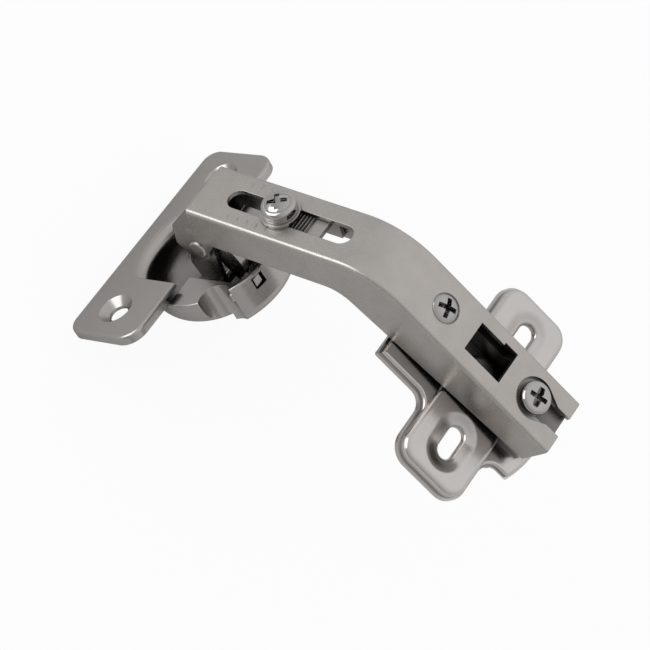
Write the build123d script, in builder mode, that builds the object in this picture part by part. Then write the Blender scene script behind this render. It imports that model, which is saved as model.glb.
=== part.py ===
"""Concealed cup hinge with a bent arm, in its open pose.

Frame: origin on the mounting plate's base, midway between its two slots. +X runs along the fixed
end of the arm toward the fork, +Y across the plate from slot to slot, +Z out of the base.
"""

import os
from math import cos, radians, sin, tan

from build123d import *

os.makedirs("parts", exist_ok=True)

# Sheets
plate_sheet = 1.4
rail_sheet = 1.3
arm_sheet = 1.2
link_sheet = 1.15
cup_sheet = 1.0
spring_sheet = 0.6

# Clearances
slide_gap = 0.15
seat_gap = 0.05
pin_gap = 0.05
press_gap = 0.02
thread_gap = 0.06
linkage_play = 1.2
cut_margin = 2.0
near = 0.01

# Mounting plate
slot_spacing = 32.0
slot_width = 4.2
slot_length = 8.4
slot_draw = 0.9
wing_width = 19.2
wing_span = 52.4
wing_corner = 4.6
wing_height = 3.9
wing_round = 1.7
root_radius = 4.2
body_width = 22.4
body_back = 25.2
body_front = 16.4
body_bulge = 2.2
body_height = 2.6
body_round = 0.7
tongue_start = 12.0
tongue_lift = 1.2
skirt_rim = 0.6
skirt_height = 1.3

# Rail on the plate
rail_back = 28.0
rail_front = 15.0
rail_low = 7.1
flap_front = 2.0
flap_back = 1.5
flap_reach = 16.5
back_flap_reach = 8.0
rail_ramp = 2.6

# Rivet through rail and plate
rivet_station = -4.8
rivet_shank = 2.4
rivet_head = 4.5
rivet_dome = 1.7
dome_share = 0.88
rivet_tail = 0.6
rivet_tail_radius = 2.8

# Arm
arm_width = 15.3
arm_top = 16.5
arm_bend = 51.0
bend_radius = 21.0
arm_free = 50.6
arm_fixed = 58.1
plate_station = 42.9
channel_depth = 10.3
knee_depth = 15.0
knee_radius = 9.0
fork_depth = 9.9
arm_round = 0.9
length_slot_start = 7.3
length_slot_end = 41.0
length_slot_width = 5.4
window_start = 27.7
window_end = 39.0
window_width = 7.9
window_shift = 0.15
window_step = 0.7
window_step_length = 4.0
seat_depth = 1.0
seat_radius = 4.95
seat_tail_radius = 3.4
seat_tail = 6.4
fork_slot = 5.3
collar_wall = 1.2
collar_height = 4.4

# Screws
overlay_station = 18.8
overlay_radius = 3.5
overlay_neck = 1.5
overlay_foot = 2.6
overlay_foot_height = 1.0
overlay_sink = 0.15
clamp_station = 48.2
clamp_radius = 2.4
clamp_head = 3.9
clamp_head_height = 2.6
clamp_reach = 9.0
length_station = 21.8
length_radius = 2.4
length_head = 4.15
length_head_height = 2.8
length_reach = 7.0
washer_radius = 4.7
washer_height = 0.9
head_round = 1.1
recess_width = 1.15
recess_span = 4.7
recess_depth = 1.7
recess_taper = 8.0
length_recess_turn = 33.0
overlay_recess_turn = 20.0
clamp_recess_turn = 12.0
arm_travel = 0.9

# Inner arm
inner_end = 33.0
inner_depth = 9.0
nose_top_lead = 1.3
nose_lead = 7.65
nose_vertex = 9.2
nose_heel = 8.2
nose_heel_depth = 15.6
nose_foot = 18.4
nose_foot_lead = 5.4
nose_throat = 5.5
nose_round = 2.6
relief_start = 4.6
relief_length = 13.2
relief_width = 8.0
ridge_start = 24.6
ridge_pitch = 0.85
ridge_count = 6
ridge_height = 0.8
ridge_width = 4.6

# Pose and pivots, in the cup's frame: x across the flange toward the arm, z out of the flange
open_angle = 15.8
arm_offset_x = 11.95
arm_offset_z = 20.17
back_pin_x = 2.3
back_pin_z = -8.6
front_pin_x = 12.0
front_pin_z = -5.9
rivet_x = 6.1
rivet_z = 6.1
upper_pin_x = 7.0
upper_pin_z = 11.6
cup_pin_radius = 1.5
front_pin_radius = 1.25
upper_pin_radius = 1.25
arm_rivet_radius = 1.5
arm_rivet_head = 2.3
arm_rivet_height = 0.6
front_pin_stand = 0.7

# Links
outer_eye = 3.0
outer_waist_x = 1.9
outer_waist_z = -1.2
outer_waist = 3.5
outer_web_low = 4.4
outer_web_high = 0.6
inner_cup_eye = 2.15
inner_arm_eye = 3.4
inner_waist_x = 10.6
inner_waist_z = -0.8
inner_waist = 3.1
inner_web_low = -1.6
inner_web_high = 4.6

# Cup
cup_radius = 17.5
bowl_bottom = 12.8
bowl_round = 9.0
nose_bottom = 13.3
nose_edge = 3.0
nose_start = 9.0
pocket_place = 11.0
pocket_face = 9.3
pocket_radius = 4.0
link_room = 8.2
ledge_drop = 2.3
ledge_round = 0.45
mouth_half = 12.5
mouth_flare = 3.0
flange_left = 23.2
flange_right = 0.9
flange_span = 62.2
flange_depth = 2.5
flange_corner = 5.0
flange_back_corner = 4.0
flange_round = 0.8
flange_solid = 14.5
screw_spacing = 45.0
screw_offset = 13.0
screw_hole = 2.4
screw_sink = 4.45
screw_sink_angle = 100.0
screw_boss = 5.5

# Closing spring
leaf_face = 14.55
leaf_half = 5.0
leaf_top = 2.9
leaf_bend = 1.6
leaf_foot_room = 0.5
tab_half = 1.1
tab_place = 4.0
tab_depth = 5.0
tab_reach = 16.6
window_room = 0.5


def side(frame):
    """Plane of a frame's own x and z axes, for side profiles."""
    return Plane(frame.origin, x_dir=frame.x_dir, z_dir=-frame.y_dir)


def cup_point(x, z):
    """Place of a point given in the cup's frame."""
    return cup.origin + cup.x_dir * x + cup.z_dir * z


def pin_plane(x, z):
    """Plane across a pin that stands at a point of the cup's frame."""
    return Plane(cup_point(x, z), x_dir=cup.x_dir, z_dir=cup.y_dir)


# Frames: the fixed arm at its corner, the free arm at its front end, the cup at its centre
lean = radians(arm_bend)
fixed = Plane(origin=(-plate_station, 0, arm_top), x_dir=(1, 0, 0), z_dir=(0, 0, 1))
run = Vector(cos(lean), 0, sin(lean))
rise = Vector(-sin(lean), 0, cos(lean))
free = Plane(origin=fixed.origin - run * arm_free, x_dir=run, z_dir=rise)
tilt = radians(arm_bend + open_angle)
cup_x = Vector(cos(tilt), 0, sin(tilt))
cup_z = Vector(-sin(tilt), 0, cos(tilt))
cup = Plane(origin=free.origin - cup_x * arm_offset_x - cup_z * arm_offset_z, x_dir=cup_x, z_dir=cup_z)

# Widths across the hinge, from the outside in
arm_half = arm_width / 2
arm_inside = arm_half - arm_sheet
cheek_outside = arm_inside - slide_gap
cheek_inside = cheek_outside - arm_sheet
outer_link_outside = cheek_inside - slide_gap
outer_link_inside = outer_link_outside - link_sheet
inner_link_outside = outer_link_inside - slide_gap
inner_link_inside = inner_link_outside - link_sheet
rail_half = arm_inside - slide_gap
rail_top = arm_top - seat_depth - arm_sheet - seat_gap
rail_low_top = wing_height + rail_low


# Mounting plate: stamped body and wings over a stepped skirt, hollow underneath
with BuildSketch() as plate_outline:
    with BuildLine():
        Line((-body_back, -body_width / 2), (body_front, -body_width / 2))
        ThreePointArc(
            (body_front, -body_width / 2), (body_front + body_bulge, 0), (body_front, body_width / 2)
        )
        Line((body_front, body_width / 2), (-body_back, body_width / 2))
        Line((-body_back, body_width / 2), (-body_back, -body_width / 2))
    make_face()
    RectangleRounded(wing_width, wing_span, wing_corner)
    roots = plate_outline.vertices().filter_by(
        lambda v: abs(abs(v.X) - wing_width / 2) < near and abs(abs(v.Y) - body_width / 2) < near
    )
    fillet(roots, root_radius)

with BuildPart() as plate_body:
    with BuildSketch():
        add(plate_outline.sketch)
    extrude(amount=body_height)
    fillet(plate_body.faces().sort_by(Axis.Z)[-1].edges(), body_round)

with BuildPart() as mounting_plate:
    with BuildSketch():
        RectangleRounded(wing_width, wing_span, wing_corner)
    extrude(amount=wing_height)
    fillet(mounting_plate.faces().sort_by(Axis.Z)[-1].edges(), wing_round)
    add(plate_body.part)
    with BuildSketch():
        add(plate_outline.sketch)
        offset(amount=skirt_rim, kind=Kind.ARC)
    extrude(amount=skirt_height)
    with BuildSketch(Plane.XY.offset(skirt_height)):
        with Locations(((body_front - body_back) / 2, 0)):
            Rectangle(body_front + body_back - 2 * body_round, 2 * rail_half)
    extrude(amount=wing_height - skirt_height)
    with BuildSketch():
        add(plate_outline.sketch)
        offset(amount=-plate_sheet, kind=Kind.ARC)
    extrude(amount=body_height - plate_sheet, mode=Mode.SUBTRACT)
    with BuildSketch():
        RectangleRounded(wing_width - 2 * plate_sheet, wing_span - 2 * plate_sheet, wing_corner - plate_sheet)
    extrude(amount=wing_height - plate_sheet, mode=Mode.SUBTRACT)
    with BuildSketch():
        with Locations((tongue_start, 0)):
            Rectangle(body_front, 2 * body_width, align=(Align.MIN, Align.CENTER))
    extrude(amount=tongue_lift, mode=Mode.SUBTRACT)
    with BuildSketch():
        with GridLocations(0, slot_spacing, 1, 2):
            SlotOverall(slot_length, slot_width, rotation=90)
    extrude(amount=wing_height + cut_margin, mode=Mode.SUBTRACT)
    slot_rims = mounting_plate.edges().filter_by(
        lambda e: abs(e.center().Z - wing_height) < near
        and abs(e.center().X) < slot_width / 2 + near
        and abs(abs(e.center().Y) - slot_spacing / 2) < slot_length / 2 + near
    )
    fillet(slot_rims, slot_draw)
    with Locations((rivet_station, 0, 0)):
        Cylinder(rivet_shank + press_gap, 4 * wing_height, mode=Mode.SUBTRACT)

# Rail: folded channel on the plate, with a high flap at the front and a low one at the back
with BuildPart() as plate_rail:
    with BuildSketch(side(Plane.XY)):
        with BuildLine():
            Polyline(
                (-rail_back, wing_height),
                (rail_front, wing_height),
                (rail_front, rail_top),
                (rail_front - flap_reach, rail_top),
                (rail_front - flap_reach - rail_ramp, rail_low_top),
                (-rail_back, rail_low_top),
                close=True,
            )
        make_face()
    extrude(amount=rail_half, both=True)
    with BuildSketch(side(Plane.XY)):
        with BuildLine():
            Polyline(
                (-rail_back - cut_margin, wing_height + rail_sheet),
                (rail_front + cut_margin, wing_height + rail_sheet),
                (rail_front + cut_margin, rail_top - flap_front),
                (rail_front - flap_reach, rail_top - flap_front),
                (rail_front - flap_reach, rail_top + cut_margin),
                (back_flap_reach - rail_back, rail_top + cut_margin),
                (back_flap_reach - rail_back, rail_low_top - flap_back),
                (-rail_back - cut_margin, rail_low_top - flap_back),
                close=True,
            )
        make_face()
    extrude(amount=rail_half - rail_sheet, both=True, mode=Mode.SUBTRACT)
    with Locations((clamp_station - plate_station, 0, rail_top)):
        Cylinder(clamp_radius + thread_gap, 2 * (flap_front + cut_margin), mode=Mode.SUBTRACT)
    neck_room = overlay_neck + slide_gap
    neck_front = overlay_station - plate_station + arm_travel + neck_room
    with BuildSketch(Plane.XY.offset(rail_low_top - flap_back - seat_gap)):
        with Locations((neck_front - neck_room, 0)):
            Circle(neck_room)
        with Locations((neck_front - neck_room, 0)):
            Rectangle(rail_back, 2 * neck_room, align=(Align.MAX, Align.CENTER))
    extrude(amount=flap_back + cut_margin, mode=Mode.SUBTRACT)
    with Locations((rivet_station, 0, wing_height)):
        Cylinder(rivet_shank + press_gap, 4 * rail_sheet, mode=Mode.SUBTRACT)

# Rivet that holds the rail on the plate
with BuildPart() as plate_rivet:
    head_seat = Plane((rivet_station, 0, wing_height + rail_sheet))
    grip = rail_sheet + plate_sheet
    with BuildSketch(head_seat):
        Circle(rivet_head)
    extrude(amount=rivet_dome)
    fillet(plate_rivet.edges().sort_by(Axis.Z)[-1], rivet_dome * dome_share)
    with BuildSketch(head_seat):
        Circle(rivet_shank)
    extrude(amount=-grip - rivet_tail)
    with BuildSketch(head_seat.offset(-grip - press_gap)):
        Circle(rivet_tail_radius)
    extrude(amount=-rivet_tail)


# Arm: bent channel with its slot, screw collar, window and stamped fork seat
bend_run = bend_radius * tan(lean / 2)
toward_front = Vector(-cos(lean), -sin(lean))
inward = Vector(sin(lean), -cos(lean))
front_top = toward_front * arm_free
knee_run = (knee_depth - channel_depth * cos(lean)) / sin(lean)
knee = toward_front * knee_run + inward * channel_depth
inner_radius = bend_radius - arm_sheet
fork_start = clamp_station - arm_travel - slide_gap


def on_arm_top(edge):
    """True for the long outer edges along the top of the arm."""
    place = edge.center()
    flat = abs(fixed.to_local_coords(place).Z) < near or abs(free.to_local_coords(place).Z) < near
    round_edge = edge.geom_type == GeomType.CIRCLE and abs(edge.radius - bend_radius) < near
    return abs(abs(place.Y) - arm_half) < near and (flat or round_edge)


with BuildPart() as arm:
    with BuildSketch(side(fixed)) as arm_profile:
        with BuildLine():
            Line(front_top, toward_front * bend_run)
            RadiusArc(toward_front * bend_run, (bend_run, 0), bend_radius)
            Polyline(
                (bend_run, 0),
                (arm_fixed, 0),
                (arm_fixed, -fork_depth),
                knee,
                front_top + inward * channel_depth,
                front_top,
            )
        make_face()
        fillet(arm_profile.vertices().sort_by_distance((knee.X, knee.Y))[0], knee_radius)
    extrude(amount=arm_half, both=True)
    fillet(arm.edges().filter_by(on_arm_top), arm_round)
    with BuildSketch(side(fixed)):
        with BuildLine():
            start = toward_front * bend_run + inward * arm_sheet
            front = toward_front * (arm_free + cut_margin) + inward * arm_sheet
            Line(front, start)
            RadiusArc(start, (bend_run, -arm_sheet), inner_radius)
            Polyline(
                (bend_run, -arm_sheet),
                (arm_fixed + cut_margin, -arm_sheet),
                (arm_fixed + cut_margin, -knee_depth - cut_margin),
                front + inward * (knee_depth + cut_margin),
                front,
            )
        make_face()
    extrude(amount=arm_inside, both=True, mode=Mode.SUBTRACT)
    with BuildSketch(fixed):
        with Locations((overlay_station, 0)):
            Circle(overlay_radius + collar_wall)
    extrude(amount=-collar_height)
    with BuildSketch(fixed):
        with Locations((clamp_station, 0)):
            Circle(seat_radius + arm_sheet - slide_gap)
        with Locations((clamp_station + seat_tail, 0)):
            Circle(seat_tail_radius)
        make_hull()
    extrude(amount=-seat_depth - arm_sheet)
    with BuildSketch(fixed):
        with Locations((overlay_station, 0)):
            Circle(overlay_radius + thread_gap)
        with Locations(((window_start + window_end) / 2, window_shift)):
            Rectangle(window_end - window_start, window_width)
        with Locations((window_end - window_step_length / 2, window_shift + window_step / 2)):
            Rectangle(window_step_length, window_width + window_step)
        with Locations((fork_start, 0)):
            Circle(fork_slot / 2)
            Rectangle(arm_fixed, fork_slot, align=(Align.MIN, Align.CENTER))
    extrude(amount=arm_sheet, both=True, mode=Mode.SUBTRACT)
    with BuildSketch(fixed):
        with Locations((overlay_station, 0)):
            Circle(overlay_radius + thread_gap)
        with Locations((fork_start, 0)):
            Circle(fork_slot / 2)
            Rectangle(arm_fixed, fork_slot, align=(Align.MIN, Align.CENTER))
    extrude(amount=-collar_height - cut_margin, mode=Mode.SUBTRACT)
    with BuildSketch(fixed):
        with Locations((clamp_station, 0)):
            Circle(seat_radius)
        with Locations((clamp_station + seat_tail, 0)):
            Circle(seat_tail_radius - arm_sheet)
        make_hull()
    extrude(amount=-seat_depth, mode=Mode.SUBTRACT)
    with BuildSketch(free):
        with Locations(((length_slot_start + length_slot_end) / 2, 0)):
            SlotOverall(length_slot_end - length_slot_start, length_slot_width)
    extrude(amount=2 * arm_sheet, both=True, mode=Mode.SUBTRACT)


# Screws: turned blanks with a tapered cross recess
def cross_recess(place, turn):
    """Cross outline of a screw's recess, at the centre of its head, turned by an angle."""
    with BuildSketch(place) as cross:
        Rectangle(recess_span, recess_width, rotation=turn)
        Rectangle(recess_width, recess_span, rotation=turn)
    return cross.sketch


clamp_seat = Plane(fixed.origin + Vector(clamp_station, 0, seat_gap - seat_depth))
with BuildPart() as clamp_screw:
    with BuildSketch(clamp_seat):
        Circle(clamp_head)
    extrude(amount=clamp_head_height)
    fillet(clamp_screw.edges().sort_by(Axis.Z)[-1], head_round)
    with BuildSketch(clamp_seat):
        Circle(clamp_radius)
    extrude(amount=-clamp_reach)
    recess = cross_recess(clamp_seat.offset(clamp_head_height), clamp_recess_turn)
    extrude(recess, amount=-recess_depth, taper=recess_taper, mode=Mode.SUBTRACT)

overlay_top = Plane(fixed.origin + Vector(overlay_station, 0, -overlay_sink))
shoulder = arm_top - overlay_sink - rail_low_top - seat_gap
with BuildPart() as overlay_screw:
    with BuildSketch(overlay_top):
        Circle(overlay_radius)
    extrude(amount=-shoulder)
    with BuildSketch(overlay_top.offset(-shoulder)):
        Circle(overlay_neck)
    extrude(amount=-flap_back - 2 * seat_gap - overlay_foot_height)
    with BuildSketch(overlay_top.offset(-shoulder - flap_back - 2 * seat_gap)):
        Circle(overlay_foot)
    extrude(amount=-overlay_foot_height)
    recess = cross_recess(overlay_top, overlay_recess_turn)
    extrude(recess, amount=-recess_depth, taper=recess_taper, mode=Mode.SUBTRACT)

length_place = free.origin + run * length_station
washer_seat = Plane(length_place + rise * seat_gap, x_dir=run, z_dir=rise)
with BuildPart() as length_washer:
    with BuildSketch(washer_seat):
        Circle(washer_radius)
        Circle(length_radius + slide_gap, mode=Mode.SUBTRACT)
    extrude(amount=washer_height)

length_seat = washer_seat.offset(washer_height + seat_gap)
with BuildPart() as length_screw:
    with BuildSketch(length_seat):
        Circle(length_head)
    extrude(amount=length_head_height)
    top_rim = length_screw.edges().sort_by(lambda e: length_seat.to_local_coords(e.center()).Z)[-1]
    fillet(top_rim, head_round)
    with BuildSketch(length_seat):
        Circle(length_radius)
    extrude(amount=-length_reach)
    recess = cross_recess(length_seat.offset(length_head_height), length_recess_turn)
    extrude(recess, amount=-recess_depth, taper=recess_taper, mode=Mode.SUBTRACT)


# Inner arm: folded carriage in the free arm, its nose carrying the links
web_top = arm_sheet + slide_gap
web_under = web_top + arm_sheet
rivet_place = free.to_local_coords(cup_point(rivet_x, rivet_z))
heel_right = rivet_place.X + outer_eye

with BuildPart() as inner_arm:
    with BuildSketch(side(free)) as cheek_profile:
        with BuildLine():
            Polyline(
                (-nose_top_lead, -web_top),
                (inner_end, -web_top),
                (inner_end, -inner_depth),
                (nose_throat, -inner_depth),
                (heel_right, -nose_foot + outer_eye),
                (heel_right, -nose_foot),
                (-nose_foot_lead, -nose_foot),
                (-nose_heel, -nose_heel_depth),
                (-nose_lead, -nose_vertex),
                close=True,
            )
        make_face()
        fillet(cheek_profile.vertices().sort_by_distance((heel_right, -nose_foot))[0], nose_round)
        fillet(cheek_profile.vertices().sort_by_distance((-nose_lead, -nose_vertex))[0], arm_round)
    extrude(amount=cheek_outside, both=True)
    with BuildSketch(side(free)):
        with BuildLine():
            Polyline(
                (-nose_heel - cut_margin, -web_under),
                (inner_end + cut_margin, -web_under),
                (inner_end + cut_margin, -nose_foot - cut_margin),
                (-nose_heel - cut_margin, -nose_foot - cut_margin),
                close=True,
            )
        make_face()
    extrude(amount=cheek_inside, both=True, mode=Mode.SUBTRACT)
    with BuildSketch(free.offset(-web_top)):
        with Locations((relief_start + relief_length / 2, 0)):
            SlotOverall(relief_length, relief_width)
        with Locations((length_station, 0)):
            Circle(length_radius + thread_gap)
    extrude(amount=arm_sheet + cut_margin, both=True, mode=Mode.SUBTRACT)
    for ridge in range(ridge_count):
        foot = ridge_start + ridge * ridge_pitch
        with BuildSketch(side(free)):
            with BuildLine():
                Polyline(
                    (foot, -web_top),
                    (foot + ridge_pitch, -web_top),
                    (foot + ridge_pitch / 2, ridge_height - web_top),
                    close=True,
                )
            make_face()
        extrude(amount=ridge_width / 2, both=True)
    with BuildSketch(pin_plane(rivet_x, rivet_z)):
        Circle(arm_rivet_radius + press_gap)
    extrude(amount=arm_width, both=True, mode=Mode.SUBTRACT)
    with BuildSketch(pin_plane(upper_pin_x, upper_pin_z)):
        Circle(upper_pin_radius + press_gap)
    extrude(amount=arm_width, both=True, mode=Mode.SUBTRACT)

with BuildPart() as upper_pin:
    with BuildSketch(pin_plane(upper_pin_x, upper_pin_z)):
        Circle(upper_pin_radius)
    extrude(amount=cheek_outside, both=True)


# Rivets of the outer link, one through each cheek of the nose
def arm_rivet(name, hand):
    """Short rivet through one cheek and one side of the outer link."""
    axis_plane = pin_plane(rivet_x, rivet_z)
    with BuildPart() as rivet:
        with BuildSketch(axis_plane.offset(hand * (outer_link_inside - press_gap))):
            Circle(arm_rivet_radius)
        extrude(amount=hand * (cheek_outside - outer_link_inside + press_gap))
        with BuildSketch(axis_plane.offset(hand * cheek_outside)):
            Circle(arm_rivet_head)
        extrude(amount=hand * arm_rivet_height)
        rim = rivet.edges().sort_by(Axis.Y)[-1 if hand > 0 else 0]
        fillet(rim, arm_rivet_height * dome_share)
    rivet.part.label = name
    export_step(rivet.part, f"parts/{name}.step")


arm_rivet("arm_rivet_near", -1)
arm_rivet("arm_rivet_far", 1)

# Outer link: two cheeks joined by a web behind, from the nose rivets to the cup's back pin
with BuildSketch(side(cup)) as outer_outline:
    with Locations((rivet_x, rivet_z), (back_pin_x, back_pin_z)):
        Circle(outer_eye)
    with Locations((outer_waist_x, outer_waist_z)):
        Circle(outer_waist)
    make_hull()

with BuildPart() as outer_link:
    with BuildSketch(side(cup)):
        add(outer_outline.sketch_local)
    extrude(amount=outer_link_outside, both=True)
    with BuildSketch(side(cup)):
        Rectangle(4 * cup_radius, 4 * cup_radius)
    extrude(amount=outer_link_inside, both=True, mode=Mode.SUBTRACT)
    with BuildSketch(side(cup)):
        add(outer_outline.sketch_local)
        with Locations((outer_waist_x - outer_waist + link_sheet, (outer_web_high - outer_web_low) / 2)):
            Rectangle(
                2 * link_sheet + outer_waist,
                outer_web_high + outer_web_low,
                align=(Align.MAX, Align.CENTER),
                mode=Mode.INTERSECT,
            )
    extrude(amount=outer_link_outside, both=True)
    with BuildSketch(side(cup)):
        with Locations((rivet_x, rivet_z)):
            Circle(arm_rivet_radius + pin_gap)
        with Locations((back_pin_x, back_pin_z)):
            Circle(cup_pin_radius + pin_gap)
    extrude(amount=arm_width, both=True, mode=Mode.SUBTRACT)

# Inner link: narrower cheeks from the cup's front pin to the upper pin, with play at the upper pin
with BuildSketch(side(cup)) as inner_outline:
    with Locations((front_pin_x, front_pin_z)):
        Circle(inner_cup_eye)
    with Locations((upper_pin_x, upper_pin_z)):
        Circle(inner_arm_eye)
    with Locations((inner_waist_x, inner_waist_z)):
        Circle(inner_waist)
    make_hull()

with BuildPart() as inner_link:
    with BuildSketch(side(cup)):
        add(inner_outline.sketch_local)
    extrude(amount=inner_link_outside, both=True)
    with BuildSketch(side(cup)):
        Rectangle(4 * cup_radius, 4 * cup_radius)
    extrude(amount=inner_link_inside, both=True, mode=Mode.SUBTRACT)
    with BuildSketch(side(cup)):
        add(inner_outline.sketch_local)
        with Locations((inner_waist_x + inner_waist - link_sheet, (inner_web_high + inner_web_low) / 2)):
            Rectangle(
                inner_waist,
                inner_web_high - inner_web_low,
                align=(Align.CENTER, Align.CENTER),
                mode=Mode.INTERSECT,
            )
    extrude(amount=inner_link_outside, both=True)
    with BuildSketch(side(cup)):
        with Locations((front_pin_x, front_pin_z)):
            Circle(front_pin_radius + pin_gap)
        with Locations((upper_pin_x, upper_pin_z)):
            Circle(upper_pin_radius + linkage_play)
    extrude(amount=arm_width, both=True, mode=Mode.SUBTRACT)

# Cup pins, held in the cup's side walls
with BuildPart() as back_cup_pin:
    with BuildSketch(pin_plane(back_pin_x, back_pin_z)):
        Circle(cup_pin_radius)
    extrude(amount=pocket_face, both=True)

with BuildPart() as front_cup_pin:
    with BuildSketch(pin_plane(front_pin_x, front_pin_z)):
        Circle(front_pin_radius)
    extrude(amount=pocket_face + front_pin_stand, both=True)
    fillet(front_cup_pin.edges().group_by(Axis.Y)[0], front_pin_stand * dome_share)
    fillet(front_cup_pin.edges().group_by(Axis.Y)[-1], front_pin_stand * dome_share)


# Cup: nose block, hollow and bowl, then the flange over them
def pocket_outline(plane):
    """Two round pockets that pinch the sides of the cup beside the front pin."""
    with BuildSketch(plane) as pockets:
        with Locations(
            (pocket_place, pocket_face + pocket_radius),
            (pocket_place, -pocket_face - pocket_radius),
        ):
            Circle(pocket_radius)
    return pockets.sketch


def cup_shape(bottom, edge):
    """Side profile of a round cup with a softened rim and a rounded bottom edge."""
    with BuildSketch(side(cup)) as profile:
        with BuildLine():
            Line((0, -ledge_drop), (cup_radius - ledge_round, -ledge_drop))
            RadiusArc(
                (cup_radius - ledge_round, -ledge_drop),
                (cup_radius, -ledge_drop - ledge_round),
                ledge_round,
            )
            Line((cup_radius, -ledge_drop - ledge_round), (cup_radius, edge - bottom))
            RadiusArc((cup_radius, edge - bottom), (cup_radius - edge, -bottom), edge)
            Line((cup_radius - edge, -bottom), (0, -bottom))
            Line((0, -bottom), (0, -ledge_drop))
        make_face()
    return profile.sketch


with BuildPart() as cup_nose:
    nose_profile = cup_shape(nose_bottom, nose_edge)
    revolve(nose_profile, axis=Axis(cup.origin, cup.z_dir))
    with BuildSketch(cup.offset(cut_margin)):
        with Locations((nose_start, 0)):
            Rectangle(4 * cup_radius, 4 * cup_radius, align=(Align.MAX, Align.CENTER))
    extrude(amount=-2 * cup_radius, mode=Mode.SUBTRACT)
    pockets = pocket_outline(cup)
    extrude(pockets, amount=-2 * cup_radius, mode=Mode.SUBTRACT)

with BuildPart() as cup_hollow:
    inside = cup_radius - cup_sheet
    floor = cup_sheet - bowl_bottom
    floor_round = bowl_round - cup_sheet
    with BuildSketch(side(cup)):
        with BuildLine():
            Line((0, cut_margin), (inside + mouth_flare, cut_margin))
            Line((inside + mouth_flare, cut_margin), (inside + mouth_flare, 0))
            RadiusArc((inside + mouth_flare, 0), (inside, -mouth_flare), -mouth_flare)
            Line((inside, -mouth_flare), (inside, floor + floor_round))
            RadiusArc((inside, floor + floor_round), (inside - floor_round, floor), floor_round)
            Line((inside - floor_round, floor), (0, floor))
            Line((0, floor), (0, cut_margin))
        make_face()
    revolve(axis=Axis(cup.origin, cup.z_dir))
    with BuildSketch(cup.offset(cut_margin)):
        for hand in (-1, 1):
            with Locations((-flange_right, hand * link_room)):
                Rectangle(
                    2 * cup_radius,
                    2 * cup_radius,
                    align=(Align.MIN, Align.MIN if hand > 0 else Align.MAX),
                )
    extrude(amount=-2 * cup_radius, mode=Mode.SUBTRACT)
    with BuildSketch(cup.offset(-cup_sheet)):
        for hand in (-1, 1):
            with Locations((0, hand * mouth_half)):
                Rectangle(
                    4 * cup_radius,
                    2 * cup_radius,
                    align=(Align.CENTER, Align.MIN if hand > 0 else Align.MAX),
                )
    extrude(amount=cup_radius, mode=Mode.SUBTRACT)
    with BuildSketch(cup.offset(cup_sheet - nose_bottom)):
        Circle(inside)
        with Locations((nose_start, 0)):
            Rectangle(cup_radius, 2 * link_room, align=(Align.MIN, Align.CENTER), mode=Mode.INTERSECT)
    extrude(amount=nose_bottom)

with BuildPart() as cup_bowl:
    bowl_profile = cup_shape(bowl_bottom, bowl_round)
    revolve(bowl_profile, axis=Axis(cup.origin, cup.z_dir))
    pockets = pocket_outline(cup)
    extrude(pockets, amount=-2 * cup_radius, mode=Mode.SUBTRACT)

with BuildPart() as hinge_cup:
    with BuildSketch(cup) as flange_outline:
        with Locations((-(flange_left + flange_right) / 2, 0)):
            Rectangle(flange_left - flange_right, flange_span)
        fillet(flange_outline.vertices().group_by(Axis.X)[-1], flange_corner)
        fillet(flange_outline.vertices().group_by(Axis.X)[0], flange_back_corner)
    extrude(amount=-flange_depth)
    top_face = hinge_cup.faces().sort_by(lambda f: cup.to_local_coords(f.center()).Z)[-1]
    fillet(top_face.edges(), flange_round)
    add(cup_bowl.part)
    add(cup_nose.part)
    for hand in (-1, 1):
        wing_end = flange_span / 2 - cup_sheet
        with BuildSketch(cup.offset(-flange_depth)):
            with Locations((-(flange_left + flange_right) / 2, hand * (flange_solid + wing_end) / 2)):
                RectangleRounded(
                    flange_left - flange_right - 2 * cup_sheet,
                    wing_end - flange_solid,
                    flange_back_corner - cup_sheet,
                )
            with Locations((-screw_offset, hand * screw_spacing / 2)):
                Circle(screw_boss, mode=Mode.SUBTRACT)
        extrude(amount=flange_depth - cup_sheet, mode=Mode.SUBTRACT)
    with Locations(cup):
        with Locations((-screw_offset, screw_spacing / 2), (-screw_offset, -screw_spacing / 2)):
            CounterSinkHole(screw_hole, screw_sink, counter_sink_angle=screw_sink_angle)
    add(cup_hollow.part, mode=Mode.SUBTRACT)
    with BuildSketch(side(cup)):
        with Locations((back_pin_x, back_pin_z)):
            Circle(cup_pin_radius + press_gap)
    extrude(amount=pocket_face, both=True, mode=Mode.SUBTRACT)
    with BuildSketch(side(cup)):
        with Locations((front_pin_x, front_pin_z)):
            Circle(front_pin_radius + press_gap)
    extrude(amount=pocket_face + front_pin_stand, both=True, mode=Mode.SUBTRACT)
    with BuildSketch(cup.offset(-tab_depth)):
        with GridLocations(0, 2 * tab_place, 1, 2):
            Rectangle(
                2 * cup_radius,
                2 * (tab_half + window_room),
                align=(Align.MIN, Align.CENTER),
            )
        with Locations((leaf_face, 0)):
            Rectangle(cup_radius, cup_radius, align=(Align.MIN, Align.CENTER), mode=Mode.INTERSECT)
    extrude(amount=tab_half + window_room, both=True, mode=Mode.SUBTRACT)

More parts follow.
